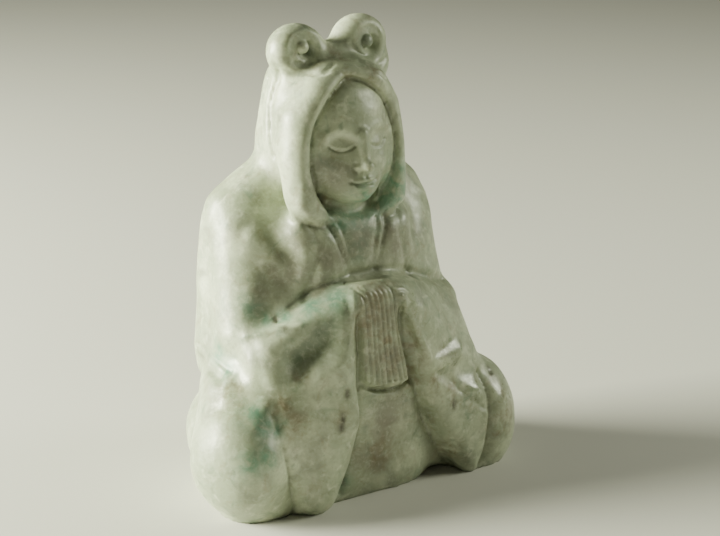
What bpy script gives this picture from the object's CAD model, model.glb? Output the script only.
"""The finish of the jade goddess: its fine carving, its stone, and the studio it stands in."""

import math

import bmesh
import bpy
import numpy as np
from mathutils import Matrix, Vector, noise
from mathutils.bvhtree import BVHTree


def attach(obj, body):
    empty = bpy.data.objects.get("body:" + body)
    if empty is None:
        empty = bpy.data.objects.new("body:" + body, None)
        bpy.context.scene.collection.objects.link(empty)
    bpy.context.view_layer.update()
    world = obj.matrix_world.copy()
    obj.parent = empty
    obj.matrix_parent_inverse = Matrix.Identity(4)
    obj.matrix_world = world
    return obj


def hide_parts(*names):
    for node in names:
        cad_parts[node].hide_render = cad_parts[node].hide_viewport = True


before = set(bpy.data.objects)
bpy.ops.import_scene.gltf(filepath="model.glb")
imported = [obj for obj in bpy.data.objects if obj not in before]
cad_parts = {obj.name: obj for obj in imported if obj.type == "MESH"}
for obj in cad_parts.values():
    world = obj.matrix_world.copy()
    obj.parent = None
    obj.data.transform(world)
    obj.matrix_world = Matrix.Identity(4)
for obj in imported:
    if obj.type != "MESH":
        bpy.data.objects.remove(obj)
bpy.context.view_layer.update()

# The studio: a pale paper floor, a large soft window light at the figure's right and behind it, a
# weak fill, and a lamp in front at its left. The camera stands at the photograph's angle, a little
# over half a metre away.
MM = 0.001
CAMERA_AZIMUTH = math.radians(-33)
CAMERA_ELEVATION = math.radians(17.5)
CAMERA_DISTANCE = 550 * MM
CAMERA_TARGET = Vector((10.1, -5.2, 67.0)) * MM
FIGURE_MIDDLE = Vector((0, 0, 70 * MM))

camera = bpy.data.objects.new("camera", bpy.data.cameras.new("camera"))
bpy.context.scene.collection.objects.link(camera)
bpy.context.scene.camera = camera
camera.data.lens = 85
camera.data.sensor_width = 36
camera.data.clip_start = 0.01
backwards = Vector((math.sin(CAMERA_AZIMUTH) * math.cos(CAMERA_ELEVATION),
                    -math.cos(CAMERA_AZIMUTH) * math.cos(CAMERA_ELEVATION),
                    math.sin(CAMERA_ELEVATION)))
camera.location = CAMERA_TARGET + backwards * CAMERA_DISTANCE
camera.rotation_mode = "QUATERNION"
camera.rotation_quaternion = (-backwards).to_track_quat("-Z", "Y")


def linear(hex_colour):
    """An sRGB hex colour as linear red, green, blue and an alpha of 1."""
    shares = [int(hex_colour[k:k + 2], 16) / 255 for k in (1, 3, 5)]
    return (*[c / 12.92 if c <= 0.04045 else ((c + 0.055) / 1.055) ** 2.4 for c in shares], 1)


bm = bmesh.new()
bmesh.ops.create_grid(bm, x_segments=1, y_segments=1, size=3)
floor_mesh = bpy.data.meshes.new("floor")
bm.to_mesh(floor_mesh)
bm.free()
floor = bpy.data.objects.new("floor", floor_mesh)
bpy.context.scene.collection.objects.link(floor)
paper = bpy.data.materials.new("pale_paper")
paper.use_nodes = True
paper.node_tree.nodes["Principled BSDF"].inputs["Base Color"].default_value = linear("#D8D6D0")
paper.node_tree.nodes["Principled BSDF"].inputs["Roughness"].default_value = 0.9
floor_mesh.materials.append(paper)


def add_light(name, place, size, watts, hex_colour):
    """A soft square light that looks at the middle of the figure."""
    light = bpy.data.lights.new(name, "AREA")
    light.shape = "SQUARE"
    light.size = size
    light.energy = watts
    light.color = linear(hex_colour)[:3]
    obj = bpy.data.objects.new(name, light)
    bpy.context.scene.collection.objects.link(obj)
    obj.location = place
    obj.rotation_mode = "QUATERNION"
    obj.rotation_quaternion = (FIGURE_MIDDLE - obj.location).to_track_quat("-Z", "Y")


add_light("window", (-0.82, 0.46, 0.32), size=0.5, watts=54, hex_colour="#FBFFE2")
add_light("fill", (0.7, -0.65, 0.5), size=0.6, watts=0.1, hex_colour="#FFF4E6")
add_light("lamp", (0.74, -0.34, 0.43), size=0.27, watts=4.4, hex_colour="#FAFFE4")
world = bpy.data.worlds.new("studio")
world.use_nodes = True
world.node_tree.nodes["Background"].inputs["Color"].default_value = linear("#E8E6DA")
world.node_tree.nodes["Background"].inputs["Strength"].default_value = 0.045
bpy.context.scene.world = world


# The figure is one block of jadeite, carved in the round and polished by hand. A copy of its solid
# gets a skin of even cells, finer at the face, the cloth and the loops of hair, for the last chisel
# work. That work is done with a few tools, which all measure in millimetres.
CELL = 0.86
FACE_BOX = ((-17, -40, 88), (17, -6, 134))
CLOTH_BOX = ((-9, -50, 34), (11, -20, 73))
LOOPS_BOX = ((-17, -30, 135), (17, -2, 148))

bm = bmesh.new()
bm.from_mesh(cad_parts["goddess_figure"].data)
bmesh.ops.remove_doubles(bm, verts=bm.verts, dist=1e-6)
block_mesh = bpy.data.meshes.new("block")
bm.to_mesh(block_mesh)
bm.free()


def modified(mesh, *steps):
    """A new mesh: the given one after some modifiers, each a kind and its settings."""
    block = bpy.data.objects.new("block", mesh)
    bpy.context.scene.collection.objects.link(block)
    for kind, settings in steps:
        modifier = block.modifiers.new(kind, kind)
        for name, value in settings.items():
            setattr(modifier, name, value)
    graph = bpy.context.evaluated_depsgraph_get()
    made = bpy.data.meshes.new_from_object(block.evaluated_get(graph))
    bpy.data.objects.remove(block)
    return made


def refined(mesh, *boxes):
    """Halves the cells inside the boxes, given in millimetres."""
    bm = bmesh.new()
    bm.from_mesh(mesh)
    edges = set()
    for low, high in boxes:
        for face in bm.faces:
            centre = face.calc_center_median() / MM
            if all(a < c < b for a, c, b in zip(low, centre, high)):
                edges.update(face.edges)
    bmesh.ops.subdivide_edges(bm, edges=list(edges), cuts=1, use_grid_fill=True)
    bm.to_mesh(mesh)
    bm.free()
    return mesh


figure_mesh = modified(block_mesh, ("REMESH", {"mode": "VOXEL", "voxel_size": CELL * MM}),
                       ("SMOOTH", {"iterations": 12}))
figure_mesh = modified(refined(figure_mesh, FACE_BOX, CLOTH_BOX, LOOPS_BOX), ("SMOOTH", {"iterations": 3}))

# The ways in which a path is laid on the figure, seen from its front, its back and its sides.
FRONT = (0, 1, 0)
BACK = (0, -1, 0)
LEFT_SIDE = (-1, 0, 0)
RIGHT_SIDE = (1, 0, 0)


def curve_through(points, step=0.4):
    """Points every step or so along a smooth curve through the given ones (Catmull-Rom)."""
    p = [Vector(q) for q in points]
    p = [2 * p[0] - p[1]] + p + [2 * p[-1] - p[-2]]
    found = []
    for a, b, c, d in zip(p, p[1:], p[2:], p[3:]):
        count = max(1, round((c - b).length / step))
        for k in range(count):
            t = k / count
            found.append(0.5 * (2 * b + (c - a) * t + (2 * a - 5 * b + 4 * c - d) * t * t
                                + (3 * b - a - 3 * c + d) * t ** 3))
    return found + [p[-2]]


class Skin:
    """The skin of a mesh in millimetres, and how far the strokes so far raise or cut each vertex."""

    def __init__(self, mesh):
        self.mesh = mesh
        self.read()

    def read(self):
        """Reads the vertices, their normals and the surface, with nothing raised or cut yet."""
        count = len(self.mesh.vertices)
        self.points = np.empty(count * 3)
        self.mesh.vertices.foreach_get("co", self.points)
        self.points = self.points.reshape(-1, 3) / MM
        self.normals = np.empty(count * 3)
        self.mesh.vertices.foreach_get("normal", self.normals)
        self.normals = self.normals.reshape(-1, 3)
        self.tree = BVHTree.FromPolygons(self.points.tolist(), [p.vertices for p in self.mesh.polygons])
        self.rise = np.zeros(count)

    def dropped(self, path, aim):
        """Lays a drawn path on the skin: (x, z) seen from the front or back, (y, z) from a side."""
        aim = Vector(aim)
        found = []
        for across, up in path:
            start = Vector((0, across, up)) if aim.x else Vector((across, 0, up))
            hit = self.tree.ray_cast(start - 200 * aim, aim)[0]
            if hit is not None:
                found.append(hit)
        return np.array(found)

    def near(self, line, width):
        """The vertices within width of a line, how far each is from it, and its nearest point there."""
        low, high = line.min(0) - width, line.max(0) + width
        chosen = np.flatnonzero(((self.points > low) & (self.points < high)).all(1))
        gaps = np.linalg.norm(self.points[chosen, None] - line[None], axis=2)
        nearest = gaps.argmin(1)
        gap = gaps[np.arange(len(chosen)), nearest]
        inside = gap < width
        return chosen[inside], gap[inside], nearest[inside]

    def stroke(self, path, width, height, aim=FRONT):
        """Raises a soft line of half-width width by height, or cuts it where height is negative."""
        line = self.dropped(curve_through(path), aim)
        chosen, gap, _ = self.near(line, width)
        self.rise[chosen] += height * (1 - (gap / width) ** 2) ** 2

    def ledge(self, path, width, height, aim=FRONT, soft=0.5):
        """Raises the skin on the left of the path, as one layer lies over another, and lets it fall away."""
        line = self.dropped(curve_through(path), aim)
        ways = np.gradient(line, axis=0)
        chosen, gap, nearest = self.near(line, width)
        turn = np.cross(ways[nearest], self.points[chosen] - line[nearest])
        left = -np.sign(turn @ np.array(aim))
        share = np.clip(0.5 + left * gap / (2 * soft), 0, 1)
        self.rise[chosen] += height * share * (1 - (gap / width) ** 2) ** 2

    def both(self, tool, path, *rest, aim=FRONT):
        """A stroke or a ledge, and its mirror image on the other side of the figure."""
        tool(path, *rest, aim=aim)
        if aim == LEFT_SIDE:
            tool(path[::-1], *rest, aim=RIGHT_SIDE)
        else:
            tool([(-x, z) for x, z in path[::-1]], *rest, aim=aim)

    def dish(self, centre, radii, height, aim=FRONT):
        """Raises or hollows a soft round patch."""
        middle = self.dropped([centre], aim)[0]
        gap = np.linalg.norm((self.points - middle) / np.array(radii), axis=1)
        self.rise += height * np.clip(1 - gap ** 2, 0, 1) ** 2

    def dishes(self, centre, radii, height, aim=FRONT):
        """A patch on each side of the figure."""
        self.dish(centre, radii, height, aim)
        self.dish((-centre[0], centre[1]), radii, height, aim)

    def drill(self, centre, radius, depth, ball, sunk):
        """Drills a shallow eye into the front, round a ball whose middle is sunk behind the surface.

        The eye is off the ball's middle, towards the figure's left and down. Only the front wall
        moves, so the back stays whole.
        """
        turns = [math.radians(angle) for angle in range(0, 360, 30)]
        rim = self.dropped([(centre[0] + radius * math.cos(a), centre[1] + radius * math.sin(a))
                            for a in turns], FRONT)
        places = np.column_stack([rim[:, 0] - centre[0], rim[:, 2] - centre[1], np.ones(len(rim))])
        plane = np.linalg.lstsq(places, rim[:, 1], rcond=None)[0]
        across = self.points[:, [0, 2]] - centre
        gap = np.hypot(*across.T)
        level = across @ plane[:2] + plane[2]
        off_middle = (1.5, -1.5)
        narrower = 1.7
        soft_edge = 1.4
        front_wall = 4
        aside = np.hypot(*(across - off_middle).T) / (radius - narrower)
        well = level + depth * np.clip(1 - aside ** 2, 0, 1) ** 1.5
        dome = level + sunk - np.sqrt(np.clip(ball ** 2 - gap ** 2, 0, None))
        wanted = np.where(gap < ball, np.minimum(well, dome), well)
        share = np.clip((radius - gap) / soft_edge, 0, 1) * (self.points[:, 1] < level + front_wall)
        drilled = self.points.copy()
        drilled[:, 1] += share * (wanted - self.points[:, 1])
        self.move(drilled)

    def patch(self, places):
        """How strongly each vertex lies in round patches, given as x, z and radius on the front."""
        found = np.zeros(len(self.points))
        for x, z, radius in places:
            middle = self.dropped([(x, z)], FRONT)[0]
            gap = np.linalg.norm(self.points - middle, axis=1) / radius
            found = np.maximum(found, np.exp(-gap ** 2))
        return found

    def smoothed(self, turns):
        """The vertices after so many turns of smoothing."""
        softer = modified(self.mesh, ("SMOOTH", {"iterations": turns}))
        found = np.empty(len(softer.vertices) * 3)
        softer.vertices.foreach_get("co", found)
        return found.reshape(-1, 3) / MM

    def move(self, points):
        """Puts the vertices at the given places, and starts again from there."""
        self.mesh.vertices.foreach_set("co", (points * MM).ravel())
        self.mesh.update()
        self.read()

    def cut(self):
        """Moves the vertices along their normals as the strokes ask."""
        self.move(self.points + self.normals * self.rise[:, None])

    def rub(self, turns, places):
        """Rubs the skin smooth in round patches on the front, as with fine grit."""
        self.move(self.points + self.patch(places)[:, None] * (self.smoothed(turns) - self.points))


skin = Skin(figure_mesh)


# The hair: two thick rolls parted over the brow, an outer layer behind them that falls on the
# shoulders and down the back, and two loops on the crown with a drilled eye and a bead in each.
LOOP_SPREAD = 11.4
EYE_RADIUS = 5.6
EYE_DEPTH = 2.8
BEAD_HEIGHT = 141.3
BEAD_RADIUS = 2.2
BEAD_SUNK = 0.9
HAIRLINE = [(-9, 92), (-11.5, 95.5), (-14, 101), (-15.5, 108), (-15.3, 114.5), (-13.5, 120.5), (-9.7, 126),
            (-5.5, 130), (-2, 132), (3, 131), (9, 127), (13.2, 121), (15.2, 114.5), (15.4, 108), (14, 101),
            (11.5, 95.5), (9, 92)]
BACK_STRANDS = 11
STRAND_WIDTH = 2.7
ROLL_BACK = [(-3, 134), (-1.8, 128), (-1.5, 122), (-3.2, 115), (-5, 108.5)]

for x in (-LOOP_SPREAD, LOOP_SPREAD):
    skin.drill((x, BEAD_HEIGHT), EYE_RADIUS, EYE_DEPTH, BEAD_RADIUS, BEAD_SUNK)
skin.rub(3, [(x, BEAD_HEIGHT, 5) for x in (-LOOP_SPREAD, LOOP_SPREAD)])
skin.rub(40, [(x + k, BEAD_HEIGHT - 5.2, 2.4) for x in (-LOOP_SPREAD, LOOP_SPREAD) for k in (-2, 0.5, 3)])
skin.stroke(HAIRLINE, 1.2, -0.7)
skin.both(skin.stroke, [(20, 136), (15.5, 133.8), (10, 134.4), (5, 136.5)], 1.5, -0.5)
skin.stroke([(-9, 134.5), (-6.5, 135), (-4.2, 134.4), (-2, 132.4)], 0.9, -0.3)
skin.stroke([(-1, 136.5), (2, 135.8), (5.5, 135), (8.5, 133.5), (11.5, 131)], 0.9, -0.4)
skin.both(skin.stroke, ROLL_BACK, 1.4, -0.5, aim=LEFT_SIDE)
skin.both(skin.stroke, [(20.6, 92), (17.5, 89), (13.5, 87.6), (9.5, 88)], 1.1, -0.4)
for lie in (0, 0.5, 1):
    skin.both(skin.stroke, [(1 + 4 * lie, 132 - 2 * lie), (1.5 + 7 * lie, 122), (0 + 10 * lie, 114),
                            (-2 + 11 * lie, 108)], 1.2, -0.3, aim=LEFT_SIDE)
for k in range(BACK_STRANDS):
    x = STRAND_WIDTH * (k - (BACK_STRANDS - 1) / 2)
    skin.stroke([(0.7 * x, 131), (x, 118), (1.05 * x, 104), (0.9 * x, 88), (0.7 * x, 78)], 1.2, -0.45,
                aim=BACK)
skin.cut()

# The face, calm and with lowered eyes. It is a drawing-book face: the brow, the base of the
# nose and the chin part it in thirds, the eyes are five to the width, the mouth two wide.
FACE_TOP = 129
FACE_CHIN = 93
third = (FACE_TOP - FACE_CHIN) / 3
brow = FACE_TOP - third
nose = FACE_CHIN + third
eye = brow - 0.3 * third
mouth = nose - 0.34 * third

skin.rub(25, [(x, eye, 4.5) for x in (-6.6, 6.6)])
skin.dishes((6.6, eye + 1.4), (6, 6, 4), -0.65)
skin.both(skin.stroke, [(2.4, brow - 1.8), (4.6, brow + 0.1), (8, brow + 0.6), (11.6, brow - 1.6)], 2.4, 0.25)
skin.stroke([(0, brow - 0.5), (0, brow - 5), (0, nose + 4), (0, nose + 1.5)], 2.6, 0.7)
skin.dish((0, nose + 1.3), (2.7, 4, 2.2), 0.9)
skin.dishes((2.4, nose + 0.9), (1.6, 3, 1.4), 0.5)
skin.dishes((8.6, nose + 1.4), (4.6, 5, 4.6), 0.6)
skin.dish((0, mouth), (5.6, 5, 3.4), 0.5)
skin.dish((0, FACE_CHIN + 2.6), (4.4, 5, 2.8), 0.6)
skin.cut()
skin.dishes((6.5, eye - 0.5), (4.8, 5, 3.4), 0.65)
skin.both(skin.stroke, [(2.9, eye - 0.9), (4.6, eye - 1.9), (6.8, eye - 2.3), (9, eye - 1.8),
                        (10.5, eye - 0.7)], 0.8, -0.55)
skin.both(skin.stroke, [(3.3, nose + 2.2), (3.9, nose + 0.9), (3.3, nose - 0.2)], 0.8, -0.45)
skin.dishes((1.2, nose - 0.5), (0.9, 2, 0.6), -0.5)
skin.stroke([(0, nose - 1.1), (0, mouth + 1.9)], 0.9, -0.3)
skin.stroke([(-4.4, mouth + 0.5), (-2.2, mouth - 0.1), (0, mouth + 0.1), (2.2, mouth - 0.1),
             (4.4, mouth + 0.5)], 0.7, -0.7)
skin.both(skin.stroke, [(0.6, mouth + 1.0), (2, mouth + 1.1), (3.6, mouth + 0.8)], 0.9, 0.4)
skin.stroke([(-2.6, mouth - 1.3), (0, mouth - 1.6), (2.6, mouth - 1.3)], 1.2, 0.5)
skin.dish((0, mouth - 3.3), (3, 4, 0.9), -0.35)
skin.dishes((4.9, mouth + 0.5), (0.9, 3, 0.9), -0.4)
skin.cut()

# The robe: a doubled collar that opens down from the throat, creases down the chest, over the hips
# and on the back, and joined sleeves whose upper edge runs in one line from elbow to elbow.
FOREARMS_TOP = [(-25, 64.5), (-20, 67.5), (-14, 70), (-7, 72), (0, 72), (7, 72), (14, 70.5), (20, 68),
                (26, 65.5), (32, 63), (38, 60.5)]
HIP_CREASE = [(9, 47), (-5, 46.8), (-14.5, 45.5)]

skin.both(skin.stroke, [(11, 89), (8.5, 82.5), (6, 76), (4.5, 72.5)], 0.9, -0.4)
skin.both(skin.stroke, [(7, 88), (5, 80), (3, 74)], 0.8, -0.35)
skin.both(skin.stroke, [(9, 88.5), (6.8, 81), (4.4, 74)], 1.0, 0.3)
skin.both(skin.ledge, [(16.5, 88), (15.5, 82), (17, 76), (18.5, 71), (20.5, 67)], 4.0, 0.3)
skin.both(skin.stroke, [(-12, 43), (-4, 43.5), (4, 43), (14, 41)], 2.2, -0.5, aim=LEFT_SIDE)
skin.stroke(HIP_CREASE, 3.0, -0.3, aim=RIGHT_SIDE)
skin.stroke(HIP_CREASE, 1.4, -0.4, aim=RIGHT_SIDE)
skin.stroke([(-14.5, 45.5), (-16.5, 42), (-19.9, 38.8)], 4, 0.35, aim=RIGHT_SIDE)
skin.both(skin.stroke, [(8, 66), (9, 52), (14, 40), (22, 30)], 2.2, -0.5, aim=BACK)
skin.both(skin.stroke, [(20, 68), (22, 56), (27, 47), (34, 40)], 2.2, -0.5, aim=BACK)
skin.cut()
skin.rub(30, [(x, 74.5, 3) for x in (-7, -4, -1, 2, 5)])
skin.stroke(FOREARMS_TOP, 1.6, -0.5)
skin.cut()

# The sleeves' long ends, which lie over the knees down to the ground. The right one has a deep
# hollow under the forearm, and the left one a sharp fold beside the hanging cloth.
RIGHT_OUTER = [(-38.5, 37), (-37, 31), (-35.8, 25), (-34.5, 19), (-33, 12), (-31.5, 5), (-31, 1)]
RIGHT_INNER = [(-8.5, 62), (-8, 54), (-8.2, 46), (-8.5, 38), (-8.2, 30), (-8.8, 22), (-10.8, 14), (-14.5, 4)]
LEFT_INNER = [(8, 62), (8.5, 55), (9.8, 47), (12.3, 38), (15.8, 27), (21.5, 14), (28, 4), (31, 1)]
LEFT_OUTER = [(39.5, 33), (40.8, 27), (40.7, 20), (39.8, 13), (39.3, 6), (37.6, 2)]

skin.rub(250, [(-38.5, 38.5, 4), (-41, 36, 5.5), (-39.5, 33, 5.5), (-37.5, 29.5, 4.5)])
skin.rub(60, [(-31, 49, 4.5), (27, 90, 5), (31, 86, 5), (25, 81, 5)])
skin.rub(20, [(22, 42, 4), (27, 43, 4)])
skin.stroke(RIGHT_OUTER[2:], 1.1, -0.45)
skin.ledge(RIGHT_OUTER[1:], 4.0, 0.4)
skin.stroke(RIGHT_OUTER[:3], 1.4, -0.2)
skin.dish((-42, 35), (6, 7, 6), 0.8)
skin.dish((-38.5, 37.8), (3.5, 6, 4), 0.7)
skin.dish((-32.8, 49), (4.5, 6, 6), 0.9)
skin.stroke(RIGHT_INNER, 1.2, -0.4)
skin.ledge(RIGHT_INNER[::-1], 3.5, 0.45)
skin.stroke([(-9.2, 68.5), (-10, 63), (-10.5, 58), (-13, 53)], 1.0, 0.35)
skin.stroke([(-11.4, 67.5), (-12, 62), (-13.2, 56.5)], 0.9, -0.25)
skin.stroke([(-39.5, 57), (-36, 58), (-30, 59.5), (-25, 60.5)], 1.2, 0.35)
skin.stroke(LEFT_INNER, 1.2, -0.5)
skin.ledge(LEFT_INNER, 4.0, 0.45)
skin.stroke([(7, 66), (9.8, 60), (13.3, 52), (16.7, 44.5)], 1.2, 0.55)
skin.stroke([(5.5, 68), (8.5, 67.5), (11, 65), (12.5, 62)], 1.1, 0.4)
skin.stroke([(17, 40.6), (23, 41.2), (31, 42.5)], 5.2, 0.9)
skin.stroke([(20, 38.5), (24.5, 36), (29, 31), (33.7, 26.5), (39, 22)], 1.3, -0.35)
skin.dish((35, 28), (5.5, 5, 3.6), 0.5)
skin.stroke(LEFT_OUTER, 1.1, -0.45)
skin.ledge(LEFT_OUTER[::-1], 3.5, 0.45)
skin.cut()

# The cloth that hangs from the joined hands to the lap. Its flutes fan over the hands from the
# figure's right, and are cut freehand, so they run unevenly down to a scalloped hem.
FLUTES = 7

for k in range(FLUTES):
    share = (k - (FLUTES - 1) / 2) / FLUTES
    sway = 0.5 * math.sin(2.3 * k)
    skin.stroke([(13 * share - 2.6, 70.3), (12.5 * share - 0.9, 67), (12.5 * share + 0.3 * sway, 60),
                 (13 * share + 0.5 + 0.5 * sway, 50), (14.5 * share + 2, 39)], 0.85, -0.5 - 0.16 * sway)
    skin.dish((14.5 * share + 3, 38.2), (1.1, 2, 1.2), 0.35)
skin.stroke([(-6, 37), (-2.5, 34.6), (2, 33.4), (7, 33.4), (10.5, 35)], 2.2, 0.9)
skin.stroke([(-7, 39), (-3, 36.5), (2, 35.2), (7, 35), (11, 36.5)], 1.0, -0.4)
skin.cut()
skin.rub(14, [(x, 70, 2.6) for x in (-8, -5.5, -3, -0.5, 2)])

# The hand of the carver: a soft unevenness all over, which makes the polish ripple, and a few small
# pits where the stone broke away. The face is kept even, and the underside is ground flat.
RIPPLES = [(0.45, 13, 3.1), (0.14, 5, 7.7)]
FACE_MIDDLE = 110
FACE_HALF_WIDTH = 13
FACE_HALF_HEIGHT = 16
FACE_BACK = -8
PITS = [(-30, 60.7), (-14.6, 39), (-16.8, 31.6), (-17.3, 29), (-13.1, 7.6), (45.6, 31.7), (26.4, 26.1)]


def ripple(wavelength, seed):
    """Smooth noise between -1 and 1 at each vertex."""
    offset = Vector((seed, 2 * seed, 3 * seed))
    return np.array([noise.noise(Vector(p) / wavelength + offset) for p in skin.points])


aside, back, height = skin.points.T
in_face = np.exp(-((aside / FACE_HALF_WIDTH) ** 4 + ((height - FACE_MIDDLE) / FACE_HALF_HEIGHT) ** 4))
in_face *= back < FACE_BACK
skin.rise += sum(swell * ripple(wavelength, seed) for swell, wavelength, seed in RIPPLES) * (1 - in_face)
for place in PITS:
    skin.dish(place, (0.9, 1.5, 1.1), -0.6)
skin.cut()
grounded = skin.points.copy()
grounded[grounded[:, 2] < 0.5, 2] = 0
skin.move(grounded)

# Polished jadeite: a felt of fine crystals, clouded cream and grey-green, with green veins and
# iron-brown stains. Light goes a few millimetres into it, which softens the carving to the eye, and
# its surface is glossy like glass. The stains lie in soft round patches: x, z and radius.
GREEN_PLACES = [(-32.5, 61.5, 3.5), (-30, 61, 3.5), (-27.8, 62, 3), (-35.5, 65, 4), (-20, 65.5, 5),
                (-14, 67.5, 5), (-43, 49, 4), (-43.3, 45.5, 4), (-43.5, 36, 4.5), (-41.5, 32.5, 4),
                (-37.6, 31, 2.5), (-48.9, 23.5, 4), (-43, 25, 4), (-13.5, 7, 3), (15.6, 98.5, 6),
                (14.5, 94, 6), (0, 96, 5), (11, 92, 5), (-6.4, 88.7, 5), (0, 88.5, 5), (6.3, 87.5, 5),
                (-1, 80, 4)]
BROWN_PLACES = [(-35.2, 37.5, 5), (-27.2, 45.5, 3), (-32.3, 31.3, 6), (-46.3, 41, 5), (-2.3, 65.5, 6),
                (1, 70, 5), (-5, 60, 5), (1, 53, 5), (11.6, 50, 5), (13, 41, 6), (13.6, 35, 5),
                (47.5, 17.5, 7), (27, 9, 5), (-0.6, 15, 6), (-16.8, 32, 3), (-7.7, 94.6, 3),
                (-1, 138, 4), (-2.5, 132.5, 3), (7, 133, 4), (20, 35, 4), (27, 31, 4), (3, 46, 5),
                (-2, 56, 5)]
SHADE_PLACES = [(-24.6, 75, 9), (-32.5, 67, 6), (-22, 84, 7), (-10, 79, 8), (0, 82, 8), (14, 78, 7),
                (1, 60, 8), (2, 46, 8), (3, 24, 10), (-3, 14, 8), (12, 84, 8), (-15, 69, 6),
                (-9, 103, 6)]
DEEP_PLACES = [(-26.5, 50.5, 5), (-23, 53, 6.5), (-19.5, 57, 5.5), (-16, 60, 4)]
DRILLED_PLACES = [(LOOP_SPREAD, BEAD_HEIGHT, 3), (3.2 - LOOP_SPREAD, BEAD_HEIGHT - 2, 2)]
SHINE_PLACES = [(25, 43, 7), (34.5, 29, 6), (47, 24.5, 6), (12, 62, 4), (8.7, 33, 3), (-46, 40, 8)]


def hollows(turns):
    """How far each vertex lies below the smoothed skin, in millimetres."""
    return ((skin.smoothed(turns) - skin.points) * skin.normals).sum(1)


patches = {"green": skin.patch(GREEN_PLACES),
           "brown": skin.patch(BROWN_PLACES),
           "deep": skin.patch(DEEP_PLACES),
           "groove": np.clip(0.9 * hollows(6) + 0.9 * hollows(40), 0, 1),
           "pit": skin.patch([(x, z + k, 1.1) for x, z in PITS for k in (-0.8, 0, 0.8)]),
           "bead": skin.patch(DRILLED_PLACES),
           "shade": skin.patch(SHADE_PLACES),
           "shine": skin.patch(SHINE_PLACES)}
for name, values in patches.items():
    figure_mesh.attributes.new(name, "FLOAT", "POINT").data.foreach_set("value", values)

jade = bpy.data.materials.new("polished_jadeite")
jade.use_nodes = True
tree = jade.node_tree
shader = tree.nodes["Principled BSDF"]


def add_node(tree, kind, settings=None, inputs=None):
    """Adds a node, sets its properties, and sets or links its inputs."""
    node = tree.nodes.new(kind)
    for name, value in (settings or {}).items():
        setattr(node, name, value)
    for name, value in (inputs or {}).items():
        if isinstance(value, bpy.types.NodeSocket):
            tree.links.new(value, node.inputs[name])
        else:
            node.inputs[name].default_value = value
    return node


place = add_node(tree, "ShaderNodeTexCoord").outputs["Object"]

# Each cloud of the stone: its colour, its grain in millimetres, the noise detail and warp, the
# noise levels it fades in between, its strength, and the stored patch that it keeps to, if any.
# The last two are the crystals, in truth a few tenths of a millimetre, drawn coarser so that they show.
CLOUDS = [("#CFD6BB", 17, 4, 0.4, (0.44, 0.68), 0.85, None),
          ("#7A7E6E", 10, 5, 0.8, (0.5, 0.72), 0.7, None),
          ("#E2E6D0", 4, 5, 0.5, (0.55, 0.72), 0.5, None),
          ("#8F866C", 6, 5, 1.2, (0.56, 0.74), 0.5, None),
          ("#66806A", 5, 6, 1.0, (0.58, 0.72), 0.5, None),
          ("#5A9078", 4, 5, 0.6, (0.32, 0.55), 0.85, "green"),
          ("#6D685C", 9, 4, 0.6, (0.15, 0.55), 0.8, "shade"),
          ("#6E5C40", 3.5, 5, 0.6, (0.36, 0.66), 0.8, "brown"),
          ("#3E553B", 7, 4, 0.5, (0.22, 0.5), 0.75, "deep"),
          ("#62654C", 5, 4, 0.3, (0.1, 0.5), 0.45, "groove"),
          ("#3A3022", 2, 3, 0.3, (0.15, 0.45), 0.8, "pit"),
          ("#566355", 3, 2, 0.3, (0.1, 0.4), 0.8, "bead"),
          ("#D8DDC6", 1.6, 3, 0.6, (0.5, 0.75), 0.25, None),
          ("#787B62", 1.3, 3, 0.6, (0.5, 0.75), 0.3, None)]
JADE_GREY = "#A2AB91"

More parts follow.
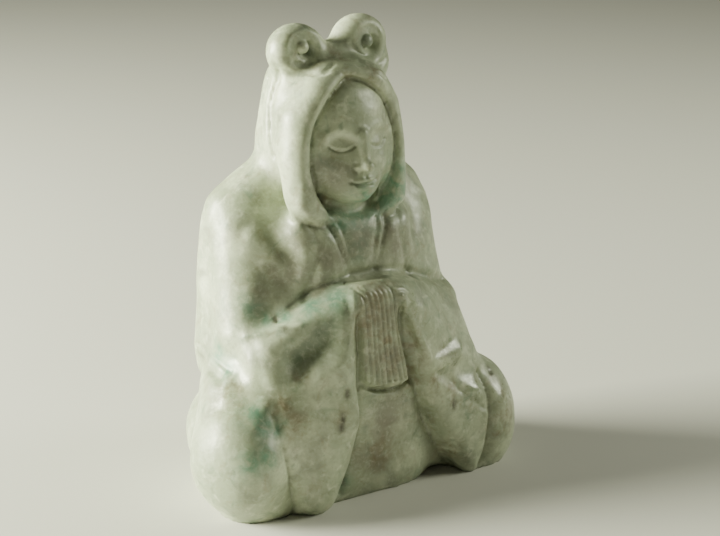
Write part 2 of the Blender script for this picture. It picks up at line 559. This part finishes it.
colour = linear(JADE_GREY)
for hex_colour, grain, detail, warp, (low, high), strength, kept_to in CLOUDS:
    cloud = add_node(tree, "ShaderNodeTexNoise",
                     inputs={"Vector": place, "Scale": 1 / (grain * MM), "Detail": detail,
                             "Distortion": warp})
    faded = add_node(tree, "ShaderNodeMapRange",
                     inputs={"Value": cloud.outputs["Fac"], "From Min": low, "From Max": high,
                             "To Max": strength})
    share = faded.outputs["Result"]
    if kept_to:
        stored = add_node(tree, "ShaderNodeAttribute", {"attribute_name": kept_to})
        kept = add_node(tree, "ShaderNodeMath", {"operation": "MULTIPLY"},
                        {0: share, 1: stored.outputs["Fac"]})
        share = kept.outputs["Value"]
    mix = add_node(tree, "ShaderNodeMix", {"data_type": "RGBA"},
                   {"Factor": share, "A": colour, "B": linear(hex_colour)})
    colour = mix.outputs["Result"]
tree.links.new(colour, shader.inputs["Base Color"])

# The polish is uneven: rubbed by hand with grit, it is satin all over and glossier in the shine
# patches. The grain of the grit, far below a tenth of a millimetre, is drawn 1 mm wide, to show.
# Sizes are in millimetres, and the light depth is how far light goes into the stone.
SATIN = (0.33, 0.52)
GLOSS_GAIN = -0.18
RUB_WIDTH = 2.5
GRIT_WIDTH = 1.0
GRIT_HEIGHT = 0.16
LIGHT_DEPTH = 2.5

rubbed = add_node(tree, "ShaderNodeTexNoise",
                  inputs={"Vector": place, "Scale": 1 / (RUB_WIDTH * MM), "Detail": 4})
satin = add_node(tree, "ShaderNodeMapRange",
                 inputs={"Value": rubbed.outputs["Fac"], "From Min": 0.3, "From Max": 0.7,
                         "To Min": SATIN[0], "To Max": SATIN[1]})
shine = add_node(tree, "ShaderNodeAttribute", {"attribute_name": "shine"})
polish = add_node(tree, "ShaderNodeMath", {"operation": "MULTIPLY_ADD"},
                  {0: shine.outputs["Fac"], 1: GLOSS_GAIN, 2: satin.outputs["Result"]})
tree.links.new(polish.outputs["Value"], shader.inputs["Roughness"])
grit = add_node(tree, "ShaderNodeTexNoise",
                inputs={"Vector": place, "Scale": 1 / (GRIT_WIDTH * MM), "Detail": 6})
bump = add_node(tree, "ShaderNodeBump",
                inputs={"Height": grit.outputs["Fac"], "Strength": 0.4, "Distance": GRIT_HEIGHT * MM})
tree.links.new(bump.outputs["Normal"], shader.inputs["Normal"])
shader.inputs["IOR"].default_value = 1.66
shader.inputs["Subsurface Weight"].default_value = 0.35
shader.inputs["Subsurface Radius"].default_value = (1.0, 1.0, 0.9)
shader.inputs["Subsurface Scale"].default_value = LIGHT_DEPTH * MM

figure_mesh.materials.append(jade)
figure_mesh.shade_smooth()
figure = bpy.data.objects.new("jade_goddess", figure_mesh)
bpy.context.scene.collection.objects.link(figure)
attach(figure, "root")
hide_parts("goddess_figure")
